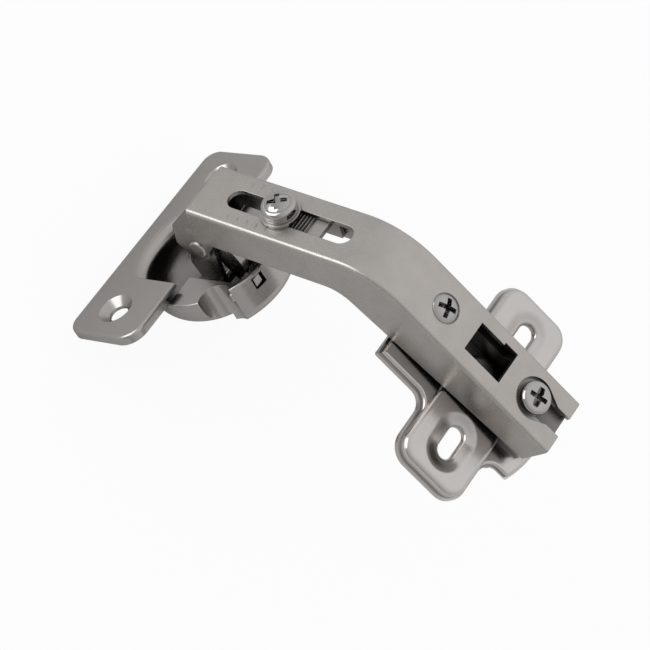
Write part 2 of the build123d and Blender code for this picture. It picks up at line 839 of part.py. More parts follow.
# Closing spring: a leaf that stands in the nose, hooked in its two windows
with BuildPart() as closing_spring:
    foot_low = cup_sheet - nose_bottom + seat_gap
    foot_end = nose_start + leaf_foot_room
    with BuildSketch(side(cup)):
        with BuildLine():
            Line((foot_end, foot_low), (leaf_face - leaf_bend, foot_low))
            RadiusArc(
                (leaf_face - leaf_bend, foot_low),
                (leaf_face + spring_sheet, foot_low + leaf_bend + spring_sheet),
                -leaf_bend - spring_sheet,
            )
            Polyline(
                (leaf_face + spring_sheet, foot_low + leaf_bend + spring_sheet),
                (leaf_face + spring_sheet, -leaf_top),
                (leaf_face, -leaf_top),
                (leaf_face, foot_low + leaf_bend + spring_sheet),
            )
            RadiusArc(
                (leaf_face, foot_low + leaf_bend + spring_sheet),
                (leaf_face - leaf_bend, foot_low + spring_sheet),
                leaf_bend,
            )
            Polyline(
                (leaf_face - leaf_bend, foot_low + spring_sheet),
                (foot_end, foot_low + spring_sheet),
                (foot_end, foot_low),
            )
        make_face()
    extrude(amount=leaf_half, both=True)
    with BuildSketch(cup.offset(-tab_depth)):
        with GridLocations(0, 2 * tab_place, 1, 2):
            Rectangle(tab_reach, 2 * tab_half, align=(Align.MIN, Align.CENTER))
        with Locations((leaf_face, 0)):
            Rectangle(cup_radius, cup_radius, align=(Align.MIN, Align.CENTER), mode=Mode.INTERSECT)
    extrude(amount=tab_half, both=True)

pieces = {
    "mounting_plate": mounting_plate,
    "plate_rail": plate_rail,
    "plate_rivet": plate_rivet,
    "arm": arm,
    "clamp_screw": clamp_screw,
    "overlay_screw": overlay_screw,
    "length_washer": length_washer,
    "length_screw": length_screw,
    "inner_arm": inner_arm,
    "upper_pin": upper_pin,
    "outer_link": outer_link,
    "inner_link": inner_link,
    "back_cup_pin": back_cup_pin,
    "front_cup_pin": front_cup_pin,
    "hinge_cup": hinge_cup,
    "closing_spring": closing_spring,
}
for name, piece in pieces.items():
    piece.part.label = name
    export_step(piece.part, f"parts/{name}.step")
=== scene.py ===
"""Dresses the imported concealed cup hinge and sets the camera, floor and studio light around it.

Everything is in metres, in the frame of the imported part: +X along the fixed end of the arm toward
its fork, +Y across the mounting plate, +Z out of the plate's base.
"""

from __future__ import annotations

import logging
import math
from dataclasses import dataclass, field
from enum import Enum

import bpy
from mathutils import Matrix, Vector


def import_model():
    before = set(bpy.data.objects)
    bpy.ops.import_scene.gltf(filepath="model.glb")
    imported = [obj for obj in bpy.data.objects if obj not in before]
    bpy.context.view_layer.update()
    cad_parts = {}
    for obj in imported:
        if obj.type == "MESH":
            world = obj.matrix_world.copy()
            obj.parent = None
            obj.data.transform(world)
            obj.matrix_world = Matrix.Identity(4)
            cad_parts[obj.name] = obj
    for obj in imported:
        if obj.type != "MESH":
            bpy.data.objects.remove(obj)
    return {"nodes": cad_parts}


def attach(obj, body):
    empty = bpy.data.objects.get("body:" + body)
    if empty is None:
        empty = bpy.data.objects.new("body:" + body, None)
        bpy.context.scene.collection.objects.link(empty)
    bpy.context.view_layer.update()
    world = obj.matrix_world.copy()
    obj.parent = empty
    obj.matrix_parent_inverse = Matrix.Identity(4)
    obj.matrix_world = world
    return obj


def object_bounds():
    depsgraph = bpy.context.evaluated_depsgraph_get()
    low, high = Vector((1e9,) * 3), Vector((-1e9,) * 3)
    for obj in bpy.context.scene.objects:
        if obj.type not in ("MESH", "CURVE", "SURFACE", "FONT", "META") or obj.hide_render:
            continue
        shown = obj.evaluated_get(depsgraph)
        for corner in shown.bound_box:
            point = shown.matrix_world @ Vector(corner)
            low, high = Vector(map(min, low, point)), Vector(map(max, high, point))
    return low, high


LOG = logging.getLogger("cup_hinge")
MM = 0.001
CLOUD_CELLS = 14.0  # relief cells across one cloud of tone
CLOUD_DETAIL = 4.0
SPECK_SPAN = (0.3, 0.7)  # where the noise of the relief mostly lies
RECESS_OPEN = (0.15, 0.75)  # share of open space over a deep recess, where the painted shade is deepest, and over an open face, where it ends
RECESS_SAMPLES = 8
EDGE_SAMPLES = 6

Colour = tuple[float, float, float]
Point = tuple[float, float, float]


class Grain(Enum):
    """Kinds of fine relief on a plated piece."""

    SATIN = (2.0, 1.0)
    SPARKLE = (3.0, 1.0)
    TURNED = (3.0, 6.0)

    def __init__(self, detail: float, closeness: float) -> None:
        """Keep what sets the kind apart.

        Args:
            detail: octaves of finer relief.
            closeness: how much closer the cells lie along z than across it.
        """
        self.detail = detail
        self.closeness = closeness


class NodeBench:
    """Adds nodes to a tree and links them."""

    def __init__(self, tree: bpy.types.NodeTree) -> None:
        """Take up a tree.

        Args:
            tree: the tree to work on.
        """
        self.tree = tree

    def node(self, kind: str, **inputs: object) -> bpy.types.Node:
        """Add a node and set or link its inputs.

        Args:
            kind: type of the node.
            inputs: a value or a socket for each input, with _ for a space in its name.

        Returns:
            The node.
        """
        made = self.tree.nodes.new(kind)
        self.feed(made, **inputs)
        return made

    def feed(self, node: bpy.types.Node, **inputs: object) -> None:
        """Set or link some inputs of a node.

        Args:
            node: the node.
            inputs: a value or a socket for each input, with _ for a space in its name.
        """
        for name, value in inputs.items():
            self._set(node.inputs[name.replace("_", " ")], value)

    def reckon(self, operation: str, first: object, second: object = 0.0) -> bpy.types.NodeSocket:
        """Add a sum.

        Args:
            operation: kind of sum.
            first: its first number, a value or a socket.
            second: its second number, where it has one.

        Returns:
            The socket that gives the result.
        """
        made = self.tree.nodes.new("ShaderNodeMath")
        made.operation = operation
        self._set(made.inputs[0], first)
        self._set(made.inputs[1], second)
        return made.outputs["Value"]

    def vector(self, **parts: object) -> bpy.types.NodeSocket:
        """Join numbers into a vector.

        Args:
            parts: a value or a socket for each of X, Y and Z.

        Returns:
            The socket that gives the vector.
        """
        return self.node("ShaderNodeCombineXYZ", **parts).outputs["Vector"]

    def _set(self, socket: bpy.types.NodeSocket, value: object) -> None:
        """Set or link one input.

        Args:
            socket: the input.
            value: what it is set to, or the socket that it is linked to.
        """
        if isinstance(value, bpy.types.NodeSocket):
            self.tree.links.new(value, socket)
        else:
            socket.default_value = value


@dataclass(frozen=True)
class SlotDish:
    """Shallow relief that the press leaves round the plate's two slots.

    Args:
        spacing: distance from slot to slot.
        half_run: half the straight part of a slot, which lies across the plate.
        edge: radius of the slot's end.
        reach: distance from the slot's middle line at which the plate is flat again.
        depth: how far the relief falls toward the slot.
    """

    spacing: float = 32.0 * MM
    half_run: float = 2.1 * MM
    edge: float = 2.1 * MM
    reach: float = 5.8 * MM
    depth: float = 1.4 * MM

    def height(self, bench: NodeBench, place: bpy.types.NodeSocket) -> bpy.types.NodeSocket:
        """Give the relief's height over the plate.

        Args:
            bench: the material's nodes.
            place: socket that gives the place on the plate.

        Returns:
            The socket that gives the height.
        """
        parts = bench.node("ShaderNodeSeparateXYZ", Vector=place).outputs
        from_slot = bench.reckon("SUBTRACT", bench.reckon("ABSOLUTE", parts["Y"]), self.spacing / 2.0)
        past_run = bench.reckon("SUBTRACT", bench.reckon("ABSOLUTE", from_slot), self.half_run)
        distance = bench.node("ShaderNodeVectorMath")
        distance.operation = "LENGTH"
        bench.feed(distance, Vector=bench.vector(X=parts["X"], Y=bench.reckon("MAXIMUM", past_run)))
        fall = bench.node("ShaderNodeMapRange")
        fall.interpolation_type = "SMOOTHSTEP"
        bench.feed(
            fall,
            Value=distance.outputs["Value"],
            From_Min=self.edge,
            From_Max=self.reach,
            To_Min=-self.depth,
            To_Max=0.0,
        )
        return fall.outputs["Result"]


@dataclass(frozen=True)
class Finish:
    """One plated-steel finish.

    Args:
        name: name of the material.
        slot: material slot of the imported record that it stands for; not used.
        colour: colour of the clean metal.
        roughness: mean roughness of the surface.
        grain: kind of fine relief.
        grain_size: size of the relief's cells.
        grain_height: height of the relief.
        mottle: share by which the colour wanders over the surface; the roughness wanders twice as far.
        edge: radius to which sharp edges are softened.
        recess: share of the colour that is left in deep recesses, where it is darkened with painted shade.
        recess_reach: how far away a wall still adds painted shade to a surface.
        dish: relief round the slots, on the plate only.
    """

    name: str
    slot: str
    colour: Colour
    roughness: float
    grain: Grain = Grain.SATIN
    grain_size: float = 0.6 * MM
    grain_height: float = 0.0012 * MM
    mottle: float = 0.06
    edge: float = 0.15 * MM
    recess: float = 0.12
    recess_reach: float = 9.0 * MM
    dish: SlotDish | None = None

    def material(self) -> bpy.types.Material:
        """Build the finish as a node material.

        Returns:
            The finished material.
        """
        material = bpy.data.materials.new(self.name)
        material.use_nodes = True
        bench = NodeBench(material.node_tree)
        place = bench.node("ShaderNodeTexCoord").outputs["Object"]
        speck = self._speck(bench, place)
        bench.feed(
            material.node_tree.nodes["Principled BSDF"],
            Metallic=1.0,
            Base_Color=self._tone(bench, place),
            Roughness=self._gloss(bench, speck),
            Normal=self._facing(bench, place, speck),
        )
        return material

    def _speck(self, bench: NodeBench, place: bpy.types.NodeSocket) -> bpy.types.NodeSocket:
        """Give the noise of the fine relief.

        Args:
            bench: the material's nodes.
            place: socket that gives the place on the piece.

        Returns:
            The socket that gives the noise.
        """
        drawn_out = bench.node("ShaderNodeMapping", Vector=place, Scale=(1.0, 1.0, self.grain.closeness))
        noise = bench.node(
            "ShaderNodeTexNoise",
            Vector=drawn_out.outputs["Vector"],
            Scale=1.0 / self.grain_size,
            Detail=self.grain.detail,
        )
        return noise.outputs["Fac"]

    def _tone(self, bench: NodeBench, place: bpy.types.NodeSocket) -> bpy.types.NodeSocket:
        """Give the colour: clouded a little, and darkened with painted shade in the recesses.

        Args:
            bench: the material's nodes.
            place: socket that gives the place on the piece.

        Returns:
            The socket that gives the colour.
        """
        cloud_size = CLOUD_CELLS * self.grain_size
        cloud = bench.node("ShaderNodeTexNoise", Vector=place, Scale=1.0 / cloud_size, Detail=CLOUD_DETAIL)
        tone = bench.node("ShaderNodeMix")
        tone.data_type = "RGBA"
        bench.feed(
            tone,
            Factor=cloud.outputs["Fac"],
            A=(*(c * (1.0 - self.mottle) for c in self.colour), 1.0),
            B=(*(min(1.0, c * (1.0 + self.mottle)) for c in self.colour), 1.0),
        )
        # Painted shade: ambient occlusion darkens the colour where walls close in, down to the share
        # recess.
        open_share = bench.node("ShaderNodeAmbientOcclusion", Distance=self.recess_reach)
        open_share.samples = RECESS_SAMPLES
        shade = bench.node(
            "ShaderNodeMapRange",
            Value=open_share.outputs["AO"],
            From_Min=RECESS_OPEN[0],
            From_Max=RECESS_OPEN[1],
            To_Min=self.recess,
        )
        painted_recess_shade = bench.node("ShaderNodeVectorMath")
        painted_recess_shade.operation = "SCALE"
        bench.feed(painted_recess_shade, Vector=tone.outputs["Result"], Scale=shade.outputs["Result"])
        return painted_recess_shade.outputs["Vector"]

    def _gloss(self, bench: NodeBench, speck: bpy.types.NodeSocket) -> bpy.types.NodeSocket:
        """Give the roughness, which follows the fine relief.

        Args:
            bench: the material's nodes.
            speck: socket that gives the relief's noise.

        Returns:
            The socket that gives the roughness.
        """
        span = bench.node(
            "ShaderNodeMapRange",
            Value=speck,
            From_Min=SPECK_SPAN[0],
            From_Max=SPECK_SPAN[1],
            To_Min=self.roughness * (1.0 - 2.0 * self.mottle),
            To_Max=self.roughness * (1.0 + 2.0 * self.mottle),
        )
        return span.outputs["Result"]

    def _facing(
        self, bench: NodeBench, place: bpy.types.NodeSocket, speck: bpy.types.NodeSocket
    ) -> bpy.types.NodeSocket:
        """Give the way that the surface faces, with soft edges, the dishes and the fine relief.

        Args:
            bench: the material's nodes.
            place: socket that gives the place on the piece.
            speck: socket that gives the relief's noise.

        Returns:
            The socket that gives the direction.
        """
        soft_edge = bench.node("ShaderNodeBevel", Radius=self.edge)
        soft_edge.samples = EDGE_SAMPLES
        facing = soft_edge.outputs["Normal"]
        if self.dish:
            height = self.dish.height(bench, place)
            relief = bench.node("ShaderNodeBump", Distance=1.0, Height=height, Normal=facing)
            facing = relief.outputs["Normal"]
        bump = bench.node("ShaderNodeBump", Distance=self.grain_height, Height=speck, Normal=facing)
        return bump.outputs["Normal"]


# Each finish's recess and recess_reach set its painted shade in recesses; the cup and the inner arm get the
# darkest, the screws' crosses a little.
ARM_NICKEL = Finish(
    "arm satin nickel",
    "arm_steel",
    (0.50, 0.47, 0.445),
    0.32,
    Grain.SPARKLE,
    0.4 * MM,
    0.009 * MM,
    mottle=0.12,
    edge=0.25 * MM,
    recess_reach=15.0 * MM,
)
PLATE_NICKEL = Finish(
    "plate bright nickel",
    "plate_steel",
    (0.64, 0.61, 0.59),
    0.23,
    Grain.SATIN,
    0.8 * MM,
    edge=0.03 * MM,
    recess=0.1,
    recess_reach=22.0 * MM,
    dish=SlotDish(),
)
CUP_NICKEL = Finish(
    "cup bright nickel",
    "cup_steel",
    (0.49, 0.467, 0.448),
    0.24,
    Grain.SATIN,
    0.8 * MM,
    recess=0.04,
    recess_reach=34.0 * MM,
)
# The rail's colour is painted about half as dark as the other nickel: painted shade for the dark inside of
# the arm's window.
RAIL_PAINTED_SHADE_NICKEL = Finish("rail nickel painted dark for shade", "rail_steel", (0.24, 0.23, 0.22), 0.35)
CARRIAGE_NICKEL = Finish(
    "carriage nickel",
    "carriage_steel",
    (0.48, 0.455, 0.435),
    0.3,
    Grain.SPARKLE,
    recess=0.06,
    recess_reach=13.0 * MM,
)
LINK_NICKEL = Finish("link nickel", "link_steel", (0.40, 0.385, 0.37), 0.26)
# The plate's rivet is painted lighter than the arm's rivets and left without recess shade: painted light on
# its head inside the arm's window.
PLATE_RIVET_PAINTED_LIGHT_STEEL = Finish(
    "rivet steel with painted light", "rivet_steel", (0.74, 0.72, 0.70), 0.36, Grain.TURNED, recess=1.0
)
ARM_RIVET_STEEL = Finish(
    "dull rivet steel", "rivet_steel", (0.50, 0.475, 0.45), 0.3, Grain.TURNED, recess=0.5
)
PIN_STEEL = Finish("bright pin steel", "pin_steel", (0.56, 0.54, 0.52), 0.2, Grain.TURNED)
SCREW_STEEL = Finish(
    "bright screw steel",
    "screw_steel",
    (0.48, 0.465, 0.45),
    0.1,
    Grain.TURNED,
    0.5 * MM,
    recess=0.65,
)
SPRING_STEEL = Finish("spring steel", "spring_steel", (0.52, 0.505, 0.49), 0.25)


class Workshop:
    """Keeps each finish's material, so that a finish is built once."""

    def __init__(self) -> None:
        """Start with an empty shelf."""
        self.shelf: dict[Finish, bpy.types.Material] = {}

    def material(self, finish: Finish) -> bpy.types.Material:
        """Give a finish's material.

        Args:
            finish: the finish wanted.

        Returns:
            Its material.
        """
        if finish not in self.shelf:
            self.shelf[finish] = finish.material()
        return self.shelf[finish]


class ShapeTree(NodeBench):
    """Geometry Nodes tree with named inputs that ends in one plain mesh."""

    def __init__(self, name: str) -> None:
        """Start an empty tree.

        Args:
            name: name of the tree and of the piece it makes.
        """
        super().__init__(bpy.data.node_groups.new(name, "GeometryNodeTree"))
        self.name = name
        self.tree.interface.new_socket("Geometry", in_out="OUTPUT", socket_type="NodeSocketGeometry")
        self.source = self.tree.nodes.new("NodeGroupInput")
        self.settings: dict[str, object] = {}

    def size(self, name: str, value: float) -> bpy.types.NodeSocket:
        """Add a named length or number to the tree's inputs.

        Args:
            name: name of the input.
            value: what it is set to.

        Returns:
            The socket that gives it inside the tree.
        """
        kind = "NodeSocketInt" if isinstance(value, int) else "NodeSocketFloat"
        return self._input(name, kind, value)

    def _input(self, name: str, kind: str, value: object) -> bpy.types.NodeSocket:
        """Add an input of any kind and remember what it is set to.

        Args:
            name: name of the input.
            kind: type of its socket.
            value: what it is set to.

        Returns:
            The socket that gives it inside the tree.
        """
        socket = self.tree.interface.new_socket(name, in_out="INPUT", socket_type=kind)
        self.settings[socket.identifier] = value
        return self.source.outputs[name]

    def piece(
        self, shape: bpy.types.NodeSocket, material: bpy.types.Material, place: Matrix
    ) -> bpy.types.Object:
        """End the tree and turn its result into a plain mesh at its place.

        Args:
            shape: socket that gives the finished shape.
            material: what the shape is made of.
            place: where the shape goes, worked into its mesh.

        Returns:
            The finished piece, with its object at the origin.
        """
        paint = self._input("Material", "NodeSocketMaterial", material)
        whole = self.node("GeometryNodeRealizeInstances", Geometry=shape).outputs["Geometry"]
        dressed = self.node("GeometryNodeSetMaterial", Geometry=whole, Material=paint).outputs["Geometry"]
        self.node("NodeGroupOutput", Geometry=dressed)
        piece = bpy.data.objects.new(self.name, bpy.data.meshes.new(self.name))
        bpy.context.scene.collection.objects.link(piece)
        growth = piece.modifiers.new(self.name, "NODES")
        growth.node_group = self.tree
        for identifier, value in self.settings.items():
            growth[identifier] = value
        grown = piece.evaluated_get(bpy.context.evaluated_depsgraph_get())
        mesh = bpy.data.meshes.new_from_object(grown)
        piece.modifiers.clear()
        mesh.transform(place)
        piece.data = mesh
        return piece


@dataclass
class ArmFrame:
    """Place of the arm's free end.

    Args:
        corner: where the tops of the fixed and the free end would meet.
        bend: angle between the two ends.
        free_length: length of the free end from that corner.
    """

    corner: Point = (-42.9 * MM, 0.0, 16.5 * MM)
    bend: float = math.radians(51.0)
    free_length: float = 50.6 * MM

    def at(self, along: float, above: float) -> Matrix:
        """Give a place on the free end's top.

        Args:
            along: distance from the front end.
            above: distance out of the top.

        Returns:
            Frame with x along the arm, y across it and z out of its top.
        """
        turn = Matrix.Rotation(-self.bend, 4, "Y")
        step = turn @ Vector((along - self.free_length, 0.0, above))
        return Matrix.Translation(Vector(self.corner) + step) @ turn


@dataclass
class Assembly:
    """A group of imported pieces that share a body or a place."""

    def finishes(self) -> dict[str, Finish]:
        """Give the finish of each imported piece, by its name."""
        raise NotImplementedError

    def build(self, workshop: Workshop) -> list[bpy.types.Object]:
        """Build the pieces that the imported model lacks; a plain group has none."""
        return []

    def dress(self, nodes: dict[str, bpy.types.Object], workshop: Workshop) -> None:
        """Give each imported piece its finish.

        Args:
            nodes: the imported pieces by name.
            workshop: where the materials are kept.
        """
        for name, finish in self.finishes().items():
            mesh = nodes[name].data
            mesh.materials.clear()
            mesh.materials.append(workshop.material(finish))
            LOG.info("%s wears %s", name, finish.name)


@dataclass
class ScrewThread:
    """Thread on the open end of a screw's shank.

    Args:
        name: name of the piece.
        body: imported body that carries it.
        tip: frame at the thread's lower end, z along the screw.
        length: length of the threaded part.
        core: radius of the shank.
        pitch: distance from turn to turn.
        height: how far the ridge stands out of the shank.
        steps: straight pieces in a turn.
        ridge_sides: sides of the ridge's section.
    """

    name: str
    body: str
    tip: Matrix
    length: float
    core: float = 2.4 * MM
    pitch: float = 0.8 * MM
    height: float = 0.2 * MM
    steps: int = 40
    ridge_sides: int = 4

    def build(self, workshop: Workshop) -> bpy.types.Object:
        """Wind the ridge round the shank.

        Args:
            workshop: where the materials are kept.

        Returns:
            The thread.
        """
        tree = ShapeTree(self.name)
        core = tree.size("Core", self.core)
        path = tree.node(
            "GeometryNodeCurveSpiral",
            Resolution=tree.size("Steps", self.steps),
            Rotations=tree.size("Turns", self.length / self.pitch),
            Start_Radius=core,
            End_Radius=core,
            Height=tree.size("Length", self.length),
        )
        ridge = tree.node(
            "GeometryNodeCurvePrimitiveCircle",
            Resolution=tree.size("Ridge Sides", self.ridge_sides),
            Radius=tree.size("Height", self.height),
        )
        coil = tree.node(
            "GeometryNodeCurveToMesh",
            Curve=path.outputs["Curve"],
            Profile_Curve=ridge.outputs["Curve"],
            Fill_Caps=True,
        )
        thread = tree.piece(coil.outputs["Mesh"], workshop.material(SCREW_STEEL), self.tip)
        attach(thread, self.body)
        return thread


@dataclass
class ScrewDome:
    """Domed top of a screw's head, with the cross recess going on through it.

    Args:
        name: name of the piece.
        body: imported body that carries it.
        top: frame on the head's flat top, z along the screw and x along the arm.
        radius: radius of the dome's foot.
        rise: height of the dome.
        turn: angle of the cross in degrees.
        cross_span: length of the cross.
        cross_width: width of its arms.
        sink: how far the dome goes into the head.
        foot_share: share of the squashed ball's half height that is cut off below the foot.
        rings: rings of faces on the ball.
        crease: angle in radians over which an edge stays sharp.
    """

    name: str
    body: str
    top: Matrix
    radius: float
    rise: float
    turn: float
    cross_span: float = 4.7 * MM
    cross_width: float = 1.15 * MM
    sink: float = 0.02 * MM
    foot_share: float = 0.5
    rings: int = 32
    crease: float = 0.5

    def build(self, workshop: Workshop) -> bpy.types.Object:
        """Round the top and cut the cross.

        Args:
            workshop: where the materials are kept.

        Returns:
            The dome.
        """
        tree = ShapeTree(self.name)
        radius = tree.size("Ball Radius", self.radius / math.sqrt(1.0 - self.foot_share**2))
        half_height = self.rise / (1.0 - self.foot_share)
        span = tree.size("Cross Span", self.cross_span)
        width = tree.size("Cross Width", self.cross_width)
        cut_size = 4.0 * self.radius
        deep = tree.size("Cut Size", cut_size)
        ball = tree.node("GeometryNodeMeshUVSphere", Segments=2 * self.rings, Rings=self.rings, Radius=1.0)
        round_top = tree.node(
            "GeometryNodeTransform",
            Geometry=ball.outputs["Mesh"],
            Translation=tree.vector(Z=tree.size("Ball Level", -half_height * self.foot_share)),
            Scale=tree.vector(X=radius, Y=radius, Z=tree.size("Ball Half Height", half_height)),
        )
        block = tree.node("GeometryNodeMeshCube", Size=tree.vector(X=deep, Y=deep, Z=deep))
        below = tree.vector(Z=tree.size("Cut Level", -cut_size / 2.0))
        lower_half = tree.node("GeometryNodeTransform", Geometry=block.outputs["Mesh"], Translation=below)
        long_cut = tree.node("GeometryNodeMeshCube", Size=tree.vector(X=span, Y=width, Z=deep))
        cross_cut = tree.node("GeometryNodeMeshCube", Size=tree.vector(X=width, Y=span, Z=deep))
        cut = tree.node("GeometryNodeMeshBoolean", Mesh_1=round_top.outputs["Geometry"])
        for cutter in (lower_half.outputs["Geometry"], long_cut.outputs["Mesh"], cross_cut.outputs["Mesh"]):
            tree.feed(cut, Mesh_2=cutter)
        smooth = tree.node("GeometryNodeSetShadeSmooth", Geometry=cut.outputs["Mesh"], Shade_Smooth=True)
        bend = tree.node("GeometryNodeInputMeshEdgeAngle")
        corner = tree.node("FunctionNodeCompare", A=bend.outputs["Unsigned Angle"], B=self.crease)
        crisp = tree.node(
            "GeometryNodeSetShadeSmooth",
            Geometry=smooth.outputs["Geometry"],
            Selection=corner.outputs["Result"],
            Shade_Smooth=False,
        )
        crisp.domain = "EDGE"
        turn = Matrix.Rotation(math.radians(self.turn), 4, "Z")
        place = self.top @ Matrix.Translation((0.0, 0.0, -self.sink)) @ turn
        dome = tree.piece(crisp.outputs["Geometry"], workshop.material(SCREW_STEEL), place)
        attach(dome, self.body)
        return dome


@dataclass
class MountingPlate(Assembly):
    """Plate, rail and rivet, with the clamping screw that goes through the rail.

    Args:
        clamp_place: foot of the clamping screw's thread.
        thread_length: length of that thread.
        clamp_top: middle of that screw's flat top.
        dome_radius: radius of the dome on it.
        dome_rise: height of the dome.
        clamp_turn: angle of its cross in degrees.
    """

    clamp_place: Point = (5.3 * MM, 0.0, 6.9 * MM)
    thread_length: float = 5.0 * MM
    clamp_top: Point = (5.3 * MM, 0.0, 18.15 * MM)
    dome_radius: float = 2.8 * MM
    dome_rise: float = 0.75 * MM
    clamp_turn: float = 12.0

    def finishes(self) -> dict[str, Finish]:
        """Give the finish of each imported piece, by its name."""
        return {
            "mounting_plate": PLATE_NICKEL,
            "plate_rail": RAIL_PAINTED_SHADE_NICKEL,
            "plate_rivet": PLATE_RIVET_PAINTED_LIGHT_STEEL,
            "clamp_screw": SCREW_STEEL,
        }

    def build(self, workshop: Workshop) -> list[bpy.types.Object]:
        """Thread the clamping screw and round its head.

        Args:
            workshop: where the materials are kept.

        Returns:
            The thread and the dome.
        """
        tip = Matrix.Translation(self.clamp_place)
        top = Matrix.Translation(self.clamp_top)
        thread = ScrewThread("clamp_screw_thread", "clamp_screw", tip, self.thread_length)
        dome = ScrewDome(
            "clamp_screw_dome", "clamp_screw", top, self.dome_radius, self.dome_rise, self.clamp_turn
        )
        return [thread.build(workshop), dome.build(workshop)]


@dataclass
class Arm(Assembly):
    """Bent arm with the raised scale beside its slot, and the overlay screw.

    Args:
        frame: place of the arm's free end.
        scale_start: distance of the first mark from the front end.
        mark_count: marks in a row.
        mark_pitch: distance from mark to mark.
        mark_length: length of a mark, across the arm.
        mark_width: width of a mark, along the arm.
        mark_height: height of a mark.
        mark_rings: rings of faces on a mark.
        row_spacing: distance between the rows on either side of the slot.
        overlay_top: middle of the overlay screw's flat top.
        dome_radius: radius of the dome on it.
        dome_rise: height of the dome.
        overlay_turn: angle of its cross in degrees.
    """

    frame: ArmFrame = field(default_factory=ArmFrame)
    scale_start: float = 10.5 * MM
    mark_count: int = 5
    mark_pitch: float = 2.6 * MM
    mark_length: float = 1.7 * MM
    mark_width: float = 0.42 * MM
    mark_height: float = 0.12 * MM
    mark_rings: int = 8
    row_spacing: float = 10.6 * MM
    overlay_top: Point = (-24.1 * MM, 0.0, 16.35 * MM)
    dome_radius: float = 3.4 * MM
    dome_rise: float = 1.2 * MM
    overlay_turn: float = 20.0

    def finishes(self) -> dict[str, Finish]:
        """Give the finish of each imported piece, by its name."""
        return {"arm": ARM_NICKEL, "overlay_screw": SCREW_STEEL}

    def build(self, workshop: Workshop) -> list[bpy.types.Object]:
        """Raise the rows of scale marks and round the overlay screw's head.

        Args:
            workshop: where the materials are kept.

        Returns:
            The scale and the dome.
        """
        top = Matrix.Translation(self.overlay_top)
        dome = ScrewDome(
            "overlay_screw_dome", "overlay_screw", top, self.dome_radius, self.dome_rise, self.overlay_turn
        )
        return [self._scale(workshop), dome.build(workshop)]

    def _scale(self, workshop: Workshop) -> bpy.types.Object:
        """Raise the rows of scale marks.

        Args:
            workshop: where the materials are kept.

        Returns:
            The scale.
        """
        tree = ShapeTree("arm_scale_marks")
        spacing = tree.size("Row Spacing", self.row_spacing)
        size = tree.vector(
            X=tree.size("Mark Width", self.mark_width / 2.0),
            Y=tree.size("Mark Length", self.mark_length / 2.0),
            Z=tree.size("Mark Height", self.mark_height),
        )
        bead = tree.node(
            "GeometryNodeMeshUVSphere", Segments=2 * self.mark_rings, Rings=self.mark_rings, Radius=1.0
        )
        mark = tree.node("GeometryNodeTransform", Geometry=bead.outputs["Mesh"], Scale=size)
        row = tree.node(
            "GeometryNodeMeshLine",
            Count=tree.size("Mark Count", self.mark_count),
            Offset=tree.vector(X=tree.size("Mark Pitch", self.mark_pitch)),
        )
        marks = tree.node(
            "GeometryNodeInstanceOnPoints", Points=row.outputs["Mesh"], Instance=mark.outputs["Geometry"]
        )
        rows = tree.node(
            "GeometryNodeMeshLine",
            Count=2,
            Start_Location=tree.vector(Y=tree.reckon("MULTIPLY", spacing, -0.5)),
            Offset=tree.vector(Y=spacing),
        )
        scale = tree.node(
            "GeometryNodeInstanceOnPoints", Points=rows.outputs["Mesh"], Instance=marks.outputs["Instances"]
        )
        place = self.frame.at(self.scale_start, 0.0)
        piece = tree.piece(scale.outputs["Instances"], workshop.material(ARM_NICKEL), place)
        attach(piece, "arm")
        return piece


@dataclass
class Carriage(Assembly):
    """Inner arm that slides in the free end, with its length screw, pin and rivets.

    Args:
        frame: place of the arm's free end.
        screw_station: distance of the length screw from the front end.
        thread_foot: depth of the thread's lower end below the arm's top.
        thread_length: length of the thread.
        head_top: height of the screw's flat top above the arm's top.
        dome_radius: radius of the dome on it.
        dome_rise: height of the dome.
        length_turn: angle of its cross in degrees.
    """

    frame: ArmFrame = field(default_factory=ArmFrame)
    screw_station: float = 21.8 * MM
    thread_foot: float = 5.6 * MM
    thread_length: float = 2.6 * MM
    head_top: float = 3.8 * MM
    dome_radius: float = 3.05 * MM
    dome_rise: float = 0.75 * MM
    length_turn: float = 33.0

    def finishes(self) -> dict[str, Finish]:
        """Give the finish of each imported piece, by its name."""
        return {
            "inner_arm": CARRIAGE_NICKEL,
            "length_washer": PIN_STEEL,
            "length_screw": SCREW_STEEL,
            "upper_pin": PIN_STEEL,
            "arm_rivet_near": ARM_RIVET_STEEL,
            "arm_rivet_far": ARM_RIVET_STEEL,
        }

    def build(self, workshop: Workshop) -> list[bpy.types.Object]:
        """Thread the length screw and round its head.

        Args:
            workshop: where the materials are kept.

        Returns:
            The thread and the dome.
        """
        tip = self.frame.at(self.screw_station, -self.thread_foot)
        top = self.frame.at(self.screw_station, self.head_top)
        thread = ScrewThread("length_screw_thread", "length_screw", tip, self.thread_length)
        dome = ScrewDome(
            "length_screw_dome", "length_screw", top, self.dome_radius, self.dome_rise, self.length_turn
        )
        return [thread.build(workshop), dome.build(workshop)]


@dataclass
class CupAndLinks(Assembly):
    """Cup with its pins and spring, and the two links that carry it."""

    def finishes(self) -> dict[str, Finish]:
        """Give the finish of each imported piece, by its name."""
        return {
            "outer_link": LINK_NICKEL,
            "inner_link": LINK_NICKEL,
            "hinge_cup": CUP_NICKEL,
            "closing_spring": SPRING_STEEL,
            "back_cup_pin": PIN_STEEL,
            "front_cup_pin": PIN_STEEL,
        }


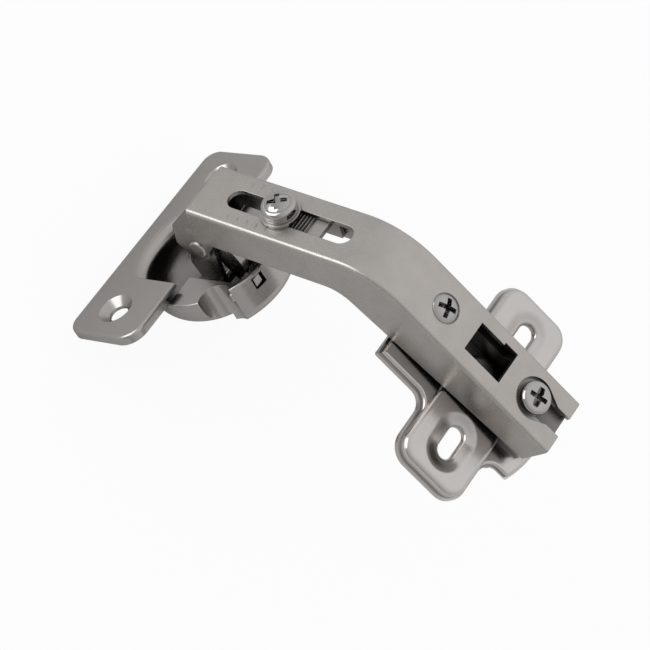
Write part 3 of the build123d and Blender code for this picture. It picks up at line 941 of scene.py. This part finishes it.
@dataclass
class PhotoCamera:
    """Camera at the photograph's viewing angle.

    Args:
        eye: place of the lens.
        forward: direction it looks in.
        upward: direction of the picture's upper edge.
        focal: focal length in picture pixels.
        frame: width of the square picture in pixels.
        sensor: width of the sensor in millimetres.
        nearest: distance from which on the camera sees.
    """

    eye: Point = (-0.19498, -0.2848, 0.49890)
    forward: Point = (0.2650, 0.4580, -0.8480)
    upward: Point = (-0.6790, 0.7130, 0.1730)
    focal: float = 2658.9
    frame: float = 650.0
    sensor: float = 36.0
    nearest: float = 0.01

    def place(self) -> bpy.types.Object:
        """Make the camera and set it as the scene's own.

        Returns:
            The camera object.
        """
        data = bpy.data.cameras.new("photo camera")
        data.sensor_fit = "HORIZONTAL"
        data.sensor_width = self.sensor
        data.lens = self.focal / self.frame * self.sensor
        data.clip_start = self.nearest
        camera = bpy.data.objects.new("photo camera", data)
        back = -Vector(self.forward).normalized()
        right = Vector(self.upward).cross(back).normalized()
        turn = Matrix((right, back.cross(right), back)).transposed()
        camera.matrix_world = Matrix.Translation(self.eye) @ turn.to_4x4()
        bpy.context.scene.collection.objects.link(camera)
        bpy.context.scene.camera = camera
        return camera


@dataclass(frozen=True)
class Softbox:
    """One square studio lamp.

    Args:
        name: name of the lamp.
        toward: direction from the part to the lamp.
        distance: distance from the part.
        size: width of the lamp.
        glow: brightness of its face, where 1 is white.
    """

    name: str
    toward: Point
    distance: float
    size: float
    glow: float

    def place(self, aim: Point) -> bpy.types.Object:
        """Hang the lamp and turn it to the part.

        Args:
            aim: the point that it faces.

        Returns:
            The lamp object.
        """
        data = bpy.data.lights.new(self.name, "AREA")
        data.shape = "SQUARE"
        data.size = self.size
        data.energy = self.glow * math.pi * self.size**2
        lamp = bpy.data.objects.new(self.name, data)
        away = Vector(self.toward).normalized()
        lamp.location = Vector(aim) + away * self.distance
        lamp.rotation_euler = (-away).to_track_quat("-Z", "Y").to_euler()
        bpy.context.scene.collection.objects.link(lamp)
        return lamp


@dataclass
class Studio:
    """Pale floor, grey card and soft lamps.

    Args:
        centre: middle of the part.
        floor_gap: distance of the floor below the part's lowest point.
        floor_half: half the width of the floor.
        floor_white: colour of the floor.
        floor_clear: share of plain white in what the camera and the metal see of the floor.
        matt: roughness of the floor and the card.
        sky_dark: brightness of the surroundings at their darkest.
        sky_light: brightness of the surroundings at their lightest.
        sky_toward: direction in which they are lightest.
        card_shade: colour of the grey card round the part, which only the metal shows.
        card_low: nearer left corner of the card.
        card_high: farther right corner of the card.
        softboxes: the lamps.
    """

    centre: Point = (-0.03, 0.0, -0.01)
    floor_gap: float = 0.004
    floor_half: float = 4.0
    floor_white: float = 0.9
    floor_clear: float = 0.93
    matt: float = 0.9
    sky_dark: float = 0.115
    sky_light: float = 0.825
    sky_toward: Point = (0.1, 0.55, 0.83)
    card_shade: float = 0.7
    card_low: tuple[float, float] = (-0.5, -0.5)
    card_high: tuple[float, float] = (0.5, 0.5)
    softboxes: tuple[Softbox, ...] = (Softbox("edge light", (-0.92, -0.33, 0.22), 0.9, 0.75, 2.0),)

    def floor(self, lowest: float) -> bpy.types.Object:
        """Lay the floor under the part: white to the eye, with the part's soft shadow.

        Args:
            lowest: height of the part's lowest point.

        Returns:
            The floor object.
        """
        half = self.floor_half
        floor = self._sheet("floor", (-half, -half), (half, half), lowest - self.floor_gap)
        material = bpy.data.materials.new("pale floor")
        material.use_nodes = True
        bench = NodeBench(material.node_tree)
        shader = material.node_tree.nodes["Principled BSDF"]
        grey = (self.floor_white,) * 3
        bench.feed(shader, Base_Color=(*grey, 1.0), Roughness=self.matt, Specular_IOR_Level=0.0)
        white = bench.node("ShaderNodeEmission")
        blend = bench.node("ShaderNodeMixShader", Fac=self._seen(bench))
        bench.tree.links.new(shader.outputs["BSDF"], blend.inputs[1])
        bench.tree.links.new(white.outputs["Emission"], blend.inputs[2])
        bench.feed(material.node_tree.nodes["Material Output"], Surface=blend.outputs["Shader"])
        floor.data.materials.append(material)
        return floor

    def card(self, lowest: float) -> bpy.types.Object:
        """Lay the grey card beside the part, for the darker sides of the metal.

        Args:
            lowest: height of the part's lowest point.

        Returns:
            The card object.
        """
        card = self._sheet("grey card", self.card_low, self.card_high, lowest - self.floor_gap / 2.0)
        material = bpy.data.materials.new("grey card")
        material.use_nodes = True
        shader = material.node_tree.nodes["Principled BSDF"]
        grey = (self.card_shade,) * 3
        NodeBench(material.node_tree).feed(shader, Base_Color=(*grey, 1.0), Roughness=self.matt)
        card.data.materials.append(material)
        card.visible_camera = False
        card.visible_diffuse = False
        card.visible_transmission = False
        card.visible_shadow = False
        return card

    def light(self) -> None:
        """Set the surroundings and hang the lamps."""
        world = bpy.data.worlds.new("studio")
        world.use_nodes = True
        bpy.context.scene.world = world
        bench = NodeBench(world.node_tree)
        slope = bench.node("ShaderNodeVectorMath")
        slope.operation = "DOT_PRODUCT"
        bench.tree.links.new(bench.node("ShaderNodeTexCoord").outputs["Generated"], slope.inputs[0])
        slope.inputs[1].default_value = Vector(self.sky_toward).normalized()
        level = bench.node(
            "ShaderNodeMapRange",
            Value=slope.outputs["Value"],
            From_Min=-1.0,
            To_Min=self.sky_dark,
            To_Max=self.sky_light,
        )
        sky = world.node_tree.nodes["Background"]
        bench.feed(sky, Color=(1.0, 1.0, 1.0, 1.0), Strength=level.outputs["Result"])
        for softbox in self.softboxes:
            softbox.place(self.centre)

    @staticmethod
    def _sheet(
        name: str, low: tuple[float, float], high: tuple[float, float], level: float
    ) -> bpy.types.Object:
        """Make a flat sheet.

        Args:
            name: name of the sheet.
            low: corner at its least x and y.
            high: corner at its greatest x and y.
            level: height of the sheet.

        Returns:
            The sheet object.
        """
        mesh = bpy.data.meshes.new(name)
        corners = [(low[0], low[1]), (high[0], low[1]), (high[0], high[1]), (low[0], high[1])]
        mesh.from_pydata([(x, y, level) for x, y in corners], [], [(0, 1, 2, 3)])
        sheet = bpy.data.objects.new(name, mesh)
        bpy.context.scene.collection.objects.link(sheet)
        return sheet

    def _seen(self, bench: NodeBench) -> bpy.types.NodeSocket:
        """Give the share of plain white for rays from the camera, or by way of metal or glass.

        Args:
            bench: the floor's nodes.

        Returns:
            The socket that gives the share, which is none for all other rays.
        """
        path = bench.node("ShaderNodeLightPath").outputs
        direct = bench.reckon("MAXIMUM", path["Is Camera Ray"], path["Is Glossy Ray"])
        seen = bench.reckon("MAXIMUM", direct, path["Is Transmission Ray"])
        return bench.reckon("MULTIPLY", seen, self.floor_clear)


def main() -> None:
    """Dress the hinge, then add the floor, the lights and the camera."""
    logging.basicConfig(level=logging.INFO, format="%(name)s: %(message)s")
    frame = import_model()
    cad_low, cad_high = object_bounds()
    workshop = Workshop()
    for assembly in (MountingPlate(), Arm(), Carriage(), CupAndLinks()):
        assembly.dress(frame["nodes"], workshop)
        for piece in assembly.build(workshop):
            LOG.info("%s built with %d faces", piece.name, len(piece.data.polygons))
    studio = Studio()
    studio.floor(cad_low[2])
    studio.card(cad_low[2])
    studio.light()
    PhotoCamera().place()
    bpy.context.scene.view_settings.view_transform = "Standard"


if __name__ == "__main__":
    main()
